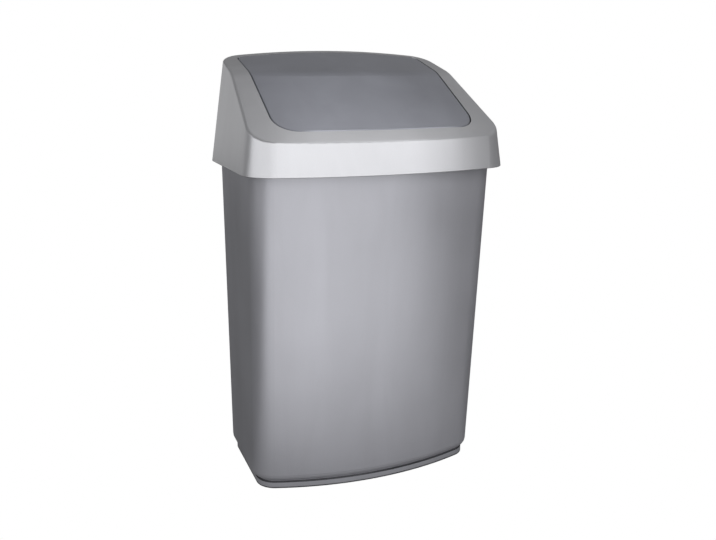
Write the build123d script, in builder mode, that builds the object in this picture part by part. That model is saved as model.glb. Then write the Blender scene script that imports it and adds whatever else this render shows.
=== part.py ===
"""Swing-lid waste bin: a tapered tub, a lift-off hood and a flap that swings in the hood.

Millimetres. X is the width, -Y the front, +Z up. The origin is on the floor, under the middle of the skirt.
"""
from build123d import *
from math import cos, hypot, pi, radians, sin, tan
import os

os.makedirs("parts", exist_ok=True)

# Hood, outside, measured at the lower edge of its skirt
hood_width = 398
hood_depth = 308
hood_front_bow = 33
hood_corner = 52
skirt_height = 488.5
wall_draft = 8.5
hood_wall = 2.6
hood_edge_radius = 4
skirt_edge_bevel = 0.8

# Top surface: a side profile turned about an upright axis far behind the front
total_height = 663
top_bow_radius = 690
front_edge_height = 530
front_slope = 0.572
knee_from_front = 164
knee_radius = 90
crest_from_front = 299
crest_radius = 60

# Opening for the flap, and the cheek that turns down round it
opening_width = 306.5
opening_front_margin = 30.5
opening_rear_margin = 13
opening_front_corner = 40
opening_rear_corner = 9
cheek_wall = 2.6
cheek_depth = 19
sill_reach = 6

# Flap
flap_gap = 1.6
flap_wall = 2.2
flap_edge_depth = 12
flap_edge_bevel = 1
flap_seat_gap = 0.3
counterweight_wall = 7
counterweight_depth = 20
counterweight_width = 270
flap_rib_wall = 1.8
flap_rib_depth = 7
flap_rib_count = 3
flap_rib_spacing = 72

# Pivot: pins on the flap run in bores in the hood's cheeks
pivot_from_front = 150
pivot_drop = 9.5
pin_radius = 4
pin_clearance = 0.06
pin_root_radius = 6
lug_radius = 7
lug_reach = 3

# Tub, outside
tub_height = 524
tub_top_width = 370
tub_top_front_gap = 16
tub_top_rear_gap = 16
tub_bow_share = 0.098
tub_base_width = 368
tub_base_front_gap = 60
tub_base_rear_gap = 17
tub_corner_share = 0.106
tub_wall = 2.2
tub_floor = 2.5
base_edge_radius = 13
base_edge_steps = 5
foot_height = 12
foot_inset = 6.5
foot_standing_width = 8
foot_recess = 1.5
foot_groove_height = 2.5
foot_groove_depth = 1.5
rim_reach = 4
rim_drop = 9
rim_wall = 2.2
rim_edge_bevel = 0.8

# Ribs inside the hood that stand on the tub's rim
rest_rib_wall = 3
rest_rib_cover = 2
rest_rib_height = 16
rest_rib_spacing = 120
rim_seat_gap = 0.3

# Places that follow from the sizes above
spare = 20
above_all = total_height + spare
low_side = skirt_height - spare
front_y = -hood_depth / 2
rear_y = hood_depth / 2
top_axis_y = front_y + top_bow_radius
draft_ratio = tan(radians(wall_draft))
slope_stretch = hypot(1, front_slope)
opening_front_y = front_y + opening_front_margin
opening_rear_y = rear_y - draft_ratio * (total_height - skirt_height) - opening_rear_margin
cheek_x = opening_width / 2
opening_bow_radius = top_bow_radius - opening_front_margin
opening_bow = opening_bow_radius - (opening_bow_radius**2 - cheek_x**2) ** 0.5
pivot_y = front_y + pivot_from_front
pivot_radius = hypot(cheek_x, top_axis_y - pivot_y)
pivot_z = front_edge_height + front_slope * (top_bow_radius - pivot_radius) - pivot_drop


def plan_outline(height, width, front, rear, bow, corners, growth):
    """A level outline with straight sides and rear, a bowed front and rounded corners, grown outward."""
    half = width / 2
    with BuildSketch(Plane.XY.offset(height), mode=Mode.PRIVATE) as sketch:
        with BuildLine():
            ThreePointArc((-half, front + bow), (0, front), (half, front + bow))
            Polyline((half, front + bow), (half, rear), (-half, rear), (-half, front + bow))
        make_face()
        fillet(sketch.vertices().group_by(Axis.Y)[0], corners[0])
        fillet(sketch.vertices().group_by(Axis.Y)[-1], corners[1])
        if growth:
            offset(amount=growth, kind=Kind.ARC, mode=Mode.REPLACE)
    return sketch.sketch


def hood_outline(height, inset):
    """The hood's drafted wall at a height, moved inward by inset."""
    corners = (hood_corner, hood_corner)
    growth = -inset - draft_ratio * (height - skirt_height)
    return plan_outline(height, hood_width, front_y, rear_y, hood_front_bow, corners, growth)


def tub_outline(level, growth, height):
    """The tub's tapered wall at one level, grown outward and drawn at a height."""
    share = (level - foot_height) / (tub_height - foot_height)

    def between(base, top):
        return base + (top - base) * share

    front = front_y + between(tub_base_front_gap, tub_top_front_gap)
    rear = rear_y - between(tub_base_rear_gap, tub_top_rear_gap)
    width = between(tub_base_width, tub_top_width)
    corners = (tub_corner_share * width, tub_corner_share * width)
    return plan_outline(height, width, front, rear, tub_bow_share * width, corners, growth)


def tub_block(low, edge_radius, growth):
    """The tub's tapered form from a level up, grown outward, its base edge rounded in even steps."""
    sections = []
    for step in range(base_edge_steps + 1):
        turn = pi / 2 * step / base_edge_steps
        level = low + edge_radius * (1 - cos(turn))
        sections.append(tub_outline(level, growth - edge_radius * (1 - sin(turn)), level))
    sections.append(tub_outline(tub_height, growth, tub_height))
    return loft(sections, ruled=True, mode=Mode.PRIVATE)


def column(outline, high):
    """An upright prism from a level outline to a height."""
    return extrude(outline, high - outline.face().center().Z, dir=(0, 0, 1), mode=Mode.PRIVATE)


def opening_column(growth):
    """The flap opening as a tall prism, grown outward."""
    corners = (opening_front_corner, opening_rear_corner)
    sides = (opening_front_y, opening_rear_y)
    return column(plan_outline(low_side, opening_width, *sides, opening_bow, corners, growth), above_all)


def under_top(drop):
    """Everything below the top surface when that surface is lowered by drop."""
    knee_height = front_edge_height + front_slope * knee_from_front
    beyond = 3 * spare
    outer = top_bow_radius + beyond
    inner = top_bow_radius - hood_depth - beyond
    with BuildPart(mode=Mode.PRIVATE) as solid:
        with BuildSketch(Plane((0, top_axis_y, -drop), x_dir=(0, 1, 0), z_dir=(1, 0, 0))) as profile:
            with BuildLine():
                Polyline(
                    (outer, skirt_height - beyond),
                    (outer, front_edge_height - front_slope * beyond),
                    (top_bow_radius - knee_from_front, knee_height),
                    (top_bow_radius - crest_from_front, total_height),
                    (inner, total_height),
                    (inner, skirt_height - beyond),
                    close=True,
                )
            make_face()
            for gap, bend_radius in ((knee_from_front, knee_radius), (crest_from_front, crest_radius)):
                bend_x = top_bow_radius - gap
                fillet([v for v in profile.vertices() if abs(v.X - bend_x) < 0.01], bend_radius)
        revolve(axis=Axis((0, top_axis_y, 0), (0, 0, 1)), revolution_arc=360)
    return solid.part


def top_rim(solid):
    """Edges round the top surface, where it meets the walls."""
    top = solid.faces().filter_by(lambda face: face.normal_at().Z > 0.5)
    edges = ShapeList(edge for face in top for edge in face.edges())
    return ShapeList(edge for edge in edges if sum(edge.is_same(other) for other in edges) == 1)


def hood_block(inset):
    """The hood's closed form, moved inward by inset."""
    with BuildPart(mode=Mode.PRIVATE) as block:
        loft([hood_outline(skirt_height - inset, inset), hood_outline(above_all, inset)], ruled=True)
        add(under_top(inset * slope_stretch), mode=Mode.INTERSECT)
    return block.part


def side_plane(x, side):
    """A plane square to X at the pivot, facing outward on one side."""
    return Plane((side * x, pivot_y, pivot_z), x_dir=(0, 1, 0), z_dir=(side, 0, 0))


# Tub: one moulding with a stepped-in foot and a rolled rim
room_floor = foot_height + tub_floor
room_overlap = base_edge_radius / 2
groove_growth = -foot_inset - foot_groove_depth
with BuildPart() as tub_room:
    add(tub_block(room_floor, base_edge_radius - tub_wall, -tub_wall))
    foot_room = tub_outline(foot_height, groove_growth - tub_wall, foot_recess + tub_floor)
    add(column(foot_room, room_floor + room_overlap))

rim_underside = tub_height - rim_drop
with BuildPart() as rolled_rim:
    add(column(tub_outline(tub_height, rim_reach, rim_underside), tub_height))
    chamfer(rolled_rim.faces().sort_by(Axis.Z)[-1].edges(), rim_edge_bevel)
    rim_groove = tub_outline(tub_height, rim_reach - rim_wall, rim_underside)
    add(column(rim_groove, tub_height - rim_wall), mode=Mode.SUBTRACT)
    add(column(tub_outline(tub_height, -tub_wall / 2, rim_underside), above_all), mode=Mode.SUBTRACT)

with BuildPart() as bin_body:
    add(tub_block(foot_height, base_edge_radius, 0))
    add(column(tub_outline(foot_height, -foot_inset, 0), foot_height - foot_groove_height))
    add(column(tub_outline(foot_height, groove_growth, 0), foot_height + room_overlap))
    add(tub_room.part, mode=Mode.SUBTRACT)
    recess = tub_outline(foot_height, -foot_inset - foot_standing_width, 0)
    add(column(recess, foot_recess), mode=Mode.SUBTRACT)
    add(rolled_rim.part)


# Cheek: the wall that turns down round the flap opening, with a sill at its rear that stops the flap
sheet_middle = under_top(flap_wall / 2)
with BuildPart() as passage:
    add(opening_column(0))
    split(bisect_by=Plane.XZ.offset(sill_reach - opening_rear_y), keep=Keep.TOP)

with BuildPart() as cheek:
    add(opening_column(cheek_wall))
    add(sheet_middle, mode=Mode.INTERSECT)
    add(under_top(cheek_depth), mode=Mode.SUBTRACT)
    add(passage.part, mode=Mode.SUBTRACT)
    add(opening_column(0) - under_top(flap_edge_depth + flap_seat_gap), mode=Mode.SUBTRACT)

# Rest ribs: short uprights on the hood's walls that stand on the tub's rim
rest_rib_z = tub_height + rim_seat_gap + rest_rib_height / 2
rest_rib_end = (hood_width - tub_top_width) / 2 + tub_wall + rest_rib_cover
with BuildPart() as rest_ribs:
    with Locations((0, 0, rest_rib_z)):
        with GridLocations(0, rest_rib_spacing, 1, 2):
            Box(hood_width, rest_rib_wall, rest_rib_height)
        with GridLocations(rest_rib_spacing, 0, 2, 1):
            Box(rest_rib_wall, hood_depth, rest_rib_height)
    add(hood_block(hood_wall / 2), mode=Mode.INTERSECT)
    add(column(hood_outline(skirt_height, rest_rib_end), above_all), mode=Mode.SUBTRACT)

with BuildPart() as hood:
    add(hood_block(0))
    fillet(top_rim(hood.part), hood_edge_radius)
    chamfer(hood.faces().sort_by(Axis.Z)[0].edges(), skirt_edge_bevel)
    add(hood_block(hood_wall), mode=Mode.SUBTRACT)
    add(opening_column(0), mode=Mode.SUBTRACT)
    add(cheek.part)
    add(rest_ribs.part)
    for side in (-1, 1):
        with BuildSketch(side_plane(cheek_x, side)):
            Circle(lug_radius)
        extrude(amount=cheek_wall + lug_reach)
        with BuildSketch(side_plane(cheek_x, side)):
            Circle(pin_radius + pin_clearance)
        extrude(amount=cheek_wall + lug_reach, both=True, mode=Mode.SUBTRACT)


# Flap: crowned sheet with a turned-down edge, ribs, a counterweight rib at the rear and two pivot pins
with BuildPart() as underside:
    add(opening_column(-flap_gap - flap_wall))
    add(under_top(flap_wall * slope_stretch), mode=Mode.INTERSECT)

with BuildPart() as stiffeners:
    with GridLocations(flap_rib_spacing, 0, flap_rib_count, 1):
        Box(flap_rib_wall, 2 * hood_depth, 2 * above_all)
    add(sheet_middle, mode=Mode.INTERSECT)
    add(under_top(flap_rib_depth), mode=Mode.SUBTRACT)
    add(opening_column(-flap_gap - flap_wall / 2), mode=Mode.INTERSECT)

counterweight_y = opening_rear_y - sill_reach - flap_gap - counterweight_wall / 2
with BuildPart() as counterweight:
    with Locations((0, counterweight_y, 0)):
        Box(counterweight_width, counterweight_wall, 2 * above_all)
    add(sheet_middle, mode=Mode.INTERSECT)
    add(under_top(counterweight_depth), mode=Mode.SUBTRACT)

flap_inside_x = cheek_x - flap_gap - flap_wall
with BuildPart() as swing_flap:
    add(opening_column(-flap_gap))
    add(under_top(0), mode=Mode.INTERSECT)
    add(under_top(flap_edge_depth), mode=Mode.SUBTRACT)
    chamfer(top_rim(swing_flap.part), flap_edge_bevel)
    add(underside.part, mode=Mode.SUBTRACT)
    add(stiffeners.part)
    add(counterweight.part)
    for side in (-1, 1):
        with BuildSketch(side_plane(flap_inside_x, side)):
            Circle(pin_root_radius)
        extrude(amount=flap_wall)
        with BuildSketch(side_plane(flap_inside_x, side)):
            Circle(pin_radius)
        extrude(amount=flap_wall + flap_gap + cheek_wall + lug_reach)


bin_body.part.label = "bin_body"
hood.part.label = "hood"
swing_flap.part.label = "swing_flap"
export_step(bin_body.part, "parts/bin_body.step")
export_step(hood.part, "parts/hood.step")
export_step(swing_flap.part, "parts/swing_flap.step")
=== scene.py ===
from math import radians

import bmesh
import bpy
from mathutils import Matrix, Vector

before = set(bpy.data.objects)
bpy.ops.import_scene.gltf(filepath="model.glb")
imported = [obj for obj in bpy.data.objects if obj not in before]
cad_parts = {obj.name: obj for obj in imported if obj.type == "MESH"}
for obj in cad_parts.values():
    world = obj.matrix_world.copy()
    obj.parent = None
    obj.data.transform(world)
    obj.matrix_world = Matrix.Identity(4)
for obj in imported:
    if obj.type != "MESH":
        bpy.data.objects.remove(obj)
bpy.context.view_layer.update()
scene = bpy.context.scene


# Tub: one injection moulding in silver-grey polypropylene with metal flake in the melt. The flake lies
# along the flow, so the tone drifts in faint upright streaks, and the mould's spark-worked face leaves
# a satin grain. It stands on its foot, and its rolled rim carries the hood.
def connect(tree, value, socket):
    """Links another node's output to a socket, or writes a plain value into it."""
    if isinstance(value, bpy.types.NodeSocket):
        tree.links.new(value, socket)
    else:
        socket.default_value = value


def node(tree, kind, inputs=None, **settings):
    """A new node with its settings; its named inputs are linked or filled in."""
    made = tree.nodes.new(kind)
    for name, value in settings.items():
        setattr(made, name, value)
    for name, value in (inputs or {}).items():
        connect(tree, value, made.inputs[name])
    return made


def arithmetic(tree, operation, *values):
    """The result of a Math node on other nodes' outputs and plain numbers."""
    made = node(tree, "ShaderNodeMath", operation=operation)
    for value, socket in zip(values, made.inputs):
        connect(tree, value, socket)
    return made.outputs["Value"]


def noise(tree, place, scale, detail, distortion=0):
    """Noise from 0 to 1 over the given places."""
    inputs = {"Vector": place, "Scale": scale, "Detail": detail, "Distortion": distortion}
    return node(tree, "ShaderNodeTexNoise", inputs).outputs["Fac"]


def brought_between(tree, value, low, high, start=0, end=1, **settings):
    """A value that runs from start to end, brought to run from low to high."""
    inputs = {"Value": value, "From Min": start, "From Max": end, "To Min": low, "To Max": high}
    return node(tree, "ShaderNodeMapRange", inputs, **settings).outputs["Result"]


def mixed(tree, blend_type, share, first, second):
    """Two colours mixed by a share; a Mix node has sockets for other kinds before its colours."""
    share_place, first_place, second_place, result_place = 0, 6, 7, 2
    made = node(tree, "ShaderNodeMix", data_type="RGBA", blend_type=blend_type)
    connect(tree, share, made.inputs[share_place])
    connect(tree, first, made.inputs[first_place])
    connect(tree, second, made.inputs[second_place])
    return made.outputs[result_place]


def new_group(name, inputs, outputs):
    """A node group with named sockets, as the group, what it is given and where its results go."""
    group = bpy.data.node_groups.new(name, "ShaderNodeTree")
    for socket, kind in inputs.items():
        group.interface.new_socket(socket, in_out="INPUT", socket_type="NodeSocket" + kind)
    for socket, kind in outputs.items():
        group.interface.new_socket(socket, in_out="OUTPUT", socket_type="NodeSocket" + kind)
    given = node(group, "NodeGroupInput").outputs
    results = node(group, "NodeGroupOutput").inputs
    return group, given, results


def moulded_surface():
    """Node group for moulded flake plastic: its tone, its roughness and the height of its grain."""
    group, given, results = new_group(
        "moulded_surface",
        {"Tone": "Color", "Flow": "Float", "Roughness": "Float"},
        {"Tone": "Color", "Roughness": "Float", "Grain": "Float"},
    )
    place = node(group, "ShaderNodeTexCoord").outputs["Object"]
    upright = {"Vector": place, "Scale": (16, 16, 2.2)}
    drawn_out = node(group, "ShaderNodeMapping", upright).outputs["Vector"]
    streaks = noise(group, drawn_out, scale=1, detail=5, distortion=0.6)
    clouds = noise(group, place, scale=7, detail=2)
    flake = noise(group, place, scale=1500, detail=1)
    grain = noise(group, place, scale=650, detail=3)

    colour = given["Tone"]
    for texture, darkest, palest in ((streaks, 0.9, 1.06), (clouds, 0.92, 1.05), (flake, 0.95, 1.05)):
        shading = brought_between(group, texture, darkest, palest, start=0.3, end=0.7)
        colour = mixed(group, "MULTIPLY", given["Flow"], colour, shading)
    connect(group, colour, results["Tone"])

    most_drift = 0.06
    drift = brought_between(group, clouds, -most_drift, most_drift)
    connect(group, arithmetic(group, "ADD", given["Roughness"], drift), results["Roughness"])
    connect(group, grain, results["Grain"])
    return group


def painted_shade_band():
    """Node group for patchy painted shade, in a band across one direction and within a half width of X.
    """
    painted_shade_tone = (0.05, 0.05, 0.055, 1)
    faintest_shade = 0.65
    group, given, results = new_group(
        "painted_shade_band",
        {"Tone": "Color", "Across": "Vector", "Middle": "Float", "Reach": "Float", "Half Width": "Float"},
        {"Tone": "Color"},
    )
    place = node(group, "ShaderNodeTexCoord").outputs["Object"]
    along = node(group, "ShaderNodeVectorMath", operation="DOT_PRODUCT")
    connect(group, place, along.inputs[0])
    connect(group, given["Across"], along.inputs[1])
    in_band = arithmetic(group, "COMPARE", along.outputs["Value"], given["Middle"], given["Reach"])
    sideways = node(group, "ShaderNodeSeparateXYZ", {"Vector": place}).outputs["X"]
    in_width = arithmetic(group, "COMPARE", sideways, 0, given["Half Width"])
    patches = brought_between(group, noise(group, place, scale=30, detail=2), faintest_shade, 1)
    cover = arithmetic(group, "MULTIPLY", arithmetic(group, "MULTIPLY", in_band, in_width), patches)
    connect(group, mixed(group, "MIX", cover, given["Tone"], painted_shade_tone), results["Tone"])
    return group


surface = moulded_surface()
shade_group = painted_shade_band()


def flake_plastic(name, tone, flow, roughness, metallic, grain_depth, painted_shade_bands):
    """A moulded flake plastic; each band of painted shade holds the values for the shade group's own
    inputs.
    """
    material = bpy.data.materials.new(name)
    material.use_nodes = True
    tree = material.node_tree
    shader = tree.nodes["Principled BSDF"]
    shader.inputs["Metallic"].default_value = metallic
    shader.inputs["IOR"].default_value = 1.49
    moulded = {"Tone": (*tone, 1), "Flow": flow, "Roughness": roughness}
    effect = node(tree, "ShaderNodeGroup", moulded, node_tree=surface).outputs
    colour = effect["Tone"]
    for band in painted_shade_bands:
        colour = node(tree, "ShaderNodeGroup", {"Tone": colour, **band}, node_tree=shade_group).outputs["Tone"]
    connect(tree, colour, shader.inputs["Base Color"])
    connect(tree, effect["Roughness"], shader.inputs["Roughness"])
    relief = {"Strength": 0.25, "Distance": grain_depth, "Height": effect["Grain"]}
    connect(tree, node(tree, "ShaderNodeBump", relief).outputs["Normal"], shader.inputs["Normal"])
    return material


def dress(name, material):
    """Puts a material on every slot of a node of the pack."""
    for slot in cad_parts[name].material_slots:
        slot.material = material


# The groove above the foot and the foot's lower edge lie in shade and show nearly black, so painted shade
# darkens them all round.
upward = (0, 0, 1)
any_width = 1
foot_groove = {"Across": upward, "Middle": 0.0107, "Reach": 0.0014, "Half Width": any_width}
foot_edge = {"Across": upward, "Middle": 0, "Reach": 0.0021, "Half Width": any_width}
tub_plastic = flake_plastic(
    "tub_plastic",
    tone=(0.52, 0.522, 0.565),
    flow=0.5,
    roughness=0.34,
    metallic=0.72,
    grain_depth=0.0004,
    painted_shade_bands=(foot_groove, foot_edge),
)
dress("bin_body", tub_plastic)


# Hood: one injection moulding in the same silver-grey flake plastic, a shade darker and less blue than
# the tub, with a shallower grain. Ribs inside it rest on the tub's rim, and it lifts straight off.
# Painted shade darkens the rear wall of its flap opening, in the gap behind the flap, which would
# otherwise mirror a bright line.
rearward = (0, 1, 0)
opening_rear = {"Across": rearward, "Middle": 0.1149, "Reach": 0.0004, "Half Width": 0.153}
hood_plastic = flake_plastic(
    "hood_plastic",
    tone=(0.48, 0.482, 0.502),
    flow=0.5,
    roughness=0.34,
    metallic=0.75,
    grain_depth=0.0003,
    painted_shade_bands=(opening_rear,),
)
dress("hood", hood_plastic)


# Flap: one injection moulding in a darker, slightly bluer flake plastic. Two pins moulded on its sides
# turn in bores in the hood, and a thick rib at its rear pulls it shut.
flap_plastic = flake_plastic(
    "flap_plastic",
    tone=(0.28, 0.287, 0.325),
    flow=0.6,
    roughness=0.33,
    metallic=0.65,
    grain_depth=0.0003,
    painted_shade_bands=(),
)
dress("swing_flap", flap_plastic)


# Floor: matt, with a pale round pool of painted light in front of the bin, left of its middle, and
# painted shade all round it, near the bin and to its right. The camera sees all of it white, and the
# plastic mirrors the painted light and shade where they lie, so the tub's front is pale and its sides are
# dark. The painted pool is whole within 0.7 m of its middle and has faded out at 1.6 m.
def seen_white(tree, mirrored):
    """How far a ray sees the white backdrop: camera and transmission rays fully, glossy rays in part."""
    rays = node(tree, "ShaderNodeLightPath").outputs
    share = arithmetic(tree, "MULTIPLY", rays["Is Glossy Ray"], mirrored)
    for name in ("Is Camera Ray", "Is Transmission Ray"):
        share = arithmetic(tree, "MAXIMUM", rays[name], share)
    return share


def blended(tree, share, first, second):
    """The shader between two others, by a share."""
    blend = node(tree, "ShaderNodeMixShader")
    for value, socket in zip((share, first, second), blend.inputs):
        connect(tree, value, socket)
    return blend.outputs["Shader"]


floor_reach = 6
floor_mesh = bpy.data.meshes.new("floor")
plane = bmesh.new()
bmesh.ops.create_grid(plane, x_segments=1, y_segments=1, size=floor_reach)
plane.to_mesh(floor_mesh)
plane.free()
floor = bpy.data.objects.new("floor", floor_mesh)
scene.collection.objects.link(floor)

floor_material = bpy.data.materials.new("pale_floor")
floor_material.use_nodes = True
tree = floor_material.node_tree
floor_shader = tree.nodes["Principled BSDF"]
floor_shader.inputs["Roughness"].default_value = 0.9
place = node(tree, "ShaderNodeTexCoord").outputs["Object"]
light_pool_place = {"Vector": place, "Location": (0.16, 0.815, 0), "Scale": (0.556, 0.556, 1)}
from_light_pool = node(tree, "ShaderNodeMapping", light_pool_place).outputs["Vector"]
disc = node(tree, "ShaderNodeTexGradient", {"Vector": from_light_pool}, gradient_type="SPHERICAL")
painted_shade_level, painted_pool_level = 0.06, 0.95
faded_out, whole = 0.13, 0.6
# The floor's colour is painted light: a pale pool that fades into painted shade, seen by the plastic's
# reflections.
painted_light_pool = brought_between(
    tree,
    disc.outputs["Fac"],
    painted_shade_level,
    painted_pool_level,
    start=faded_out,
    end=whole,
    interpolation_type="SMOOTHSTEP",
)
connect(tree, painted_light_pool, floor_shader.inputs["Base Color"])
white = (1, 1, 1, 1)
glow = node(tree, "ShaderNodeEmission", {"Color": white}).outputs["Emission"]
floor_surface = blended(tree, seen_white(tree, painted_light_pool), floor_shader.outputs["BSDF"], glow)
connect(tree, floor_surface, tree.nodes["Material Output"].inputs["Surface"])
floor_mesh.materials.append(floor_material)


# Studio: a dim grey room that the camera sees as white. A wide soft box in front shines in the hood's
# skirt, and weaker ones stand at the left and behind the bin and hang over it.
world = bpy.data.worlds.new("studio")
world.use_nodes = True
scene.world = world
tree = world.node_tree
room = tree.nodes["Background"]
room.inputs["Color"].default_value = white
room.inputs["Strength"].default_value = 0.16
backdrop = node(tree, "ShaderNodeBackground", {"Color": white}).outputs["Background"]
mirrored_room = 0.1
surround = blended(tree, seen_white(tree, mirrored_room), room.outputs["Background"], backdrop)
connect(tree, surround, tree.nodes["World Output"].inputs["Surface"])


def soft_box(name, place, toward, size, power):
    """A soft box of a width and height in metres, turned toward a point, with its power in watts."""
    width, height = size
    lamp = bpy.data.lights.new(name, "AREA")
    lamp.shape = "RECTANGLE"
    lamp.size = width
    lamp.size_y = height
    lamp.energy = power
    box = bpy.data.objects.new(name, lamp)
    box.location = place
    box.rotation_euler = (Vector(toward) - Vector(place)).to_track_quat("-Z", "Y").to_euler()
    scene.collection.objects.link(box)


tub_top = (0, 0, 0.5)
hood_top = (0, 0, 0.6)
soft_box("front_box", place=(0.25, -2.2, 1.4), toward=tub_top, size=(4.1, 2.1), power=52)
soft_box("side_box", place=(-2.2, -0.75, 1.0), toward=tub_top, size=(3.3, 1.2), power=20)
soft_box("rear_box", place=(-0.95, 2.15, 0.75), toward=tub_top, size=(2.0, 0.8), power=2)
soft_box("overhead_box", place=(0.5, -0.1, 2.2), toward=hood_top, size=(1.4, 1.2), power=8)


# Camera: to the left of the bin's front, just below the height of its top and 1.3 m from its middle,
# looking a little down. Its place and lens were fitted to the bin's outline in the photograph.
azimuth = radians(-21.13)
elevation = radians(13.97)
distance = 1.3025
aim = Vector((0.0065, 0.004, 0.3178))
turn = Matrix.Rotation(azimuth, 3, "Z") @ Matrix.Rotation(radians(90) - elevation, 3, "X")
camera_data = bpy.data.cameras.new("camera")
camera_data.lens = 41.1
camera_data.sensor_width = 36
camera = bpy.data.objects.new("camera", camera_data)
camera.location = aim + turn @ Vector((0, 0, distance))
camera.rotation_euler = turn.to_euler()
scene.collection.objects.link(camera)
scene.camera = camera
scene.view_settings.view_transform = "Standard"
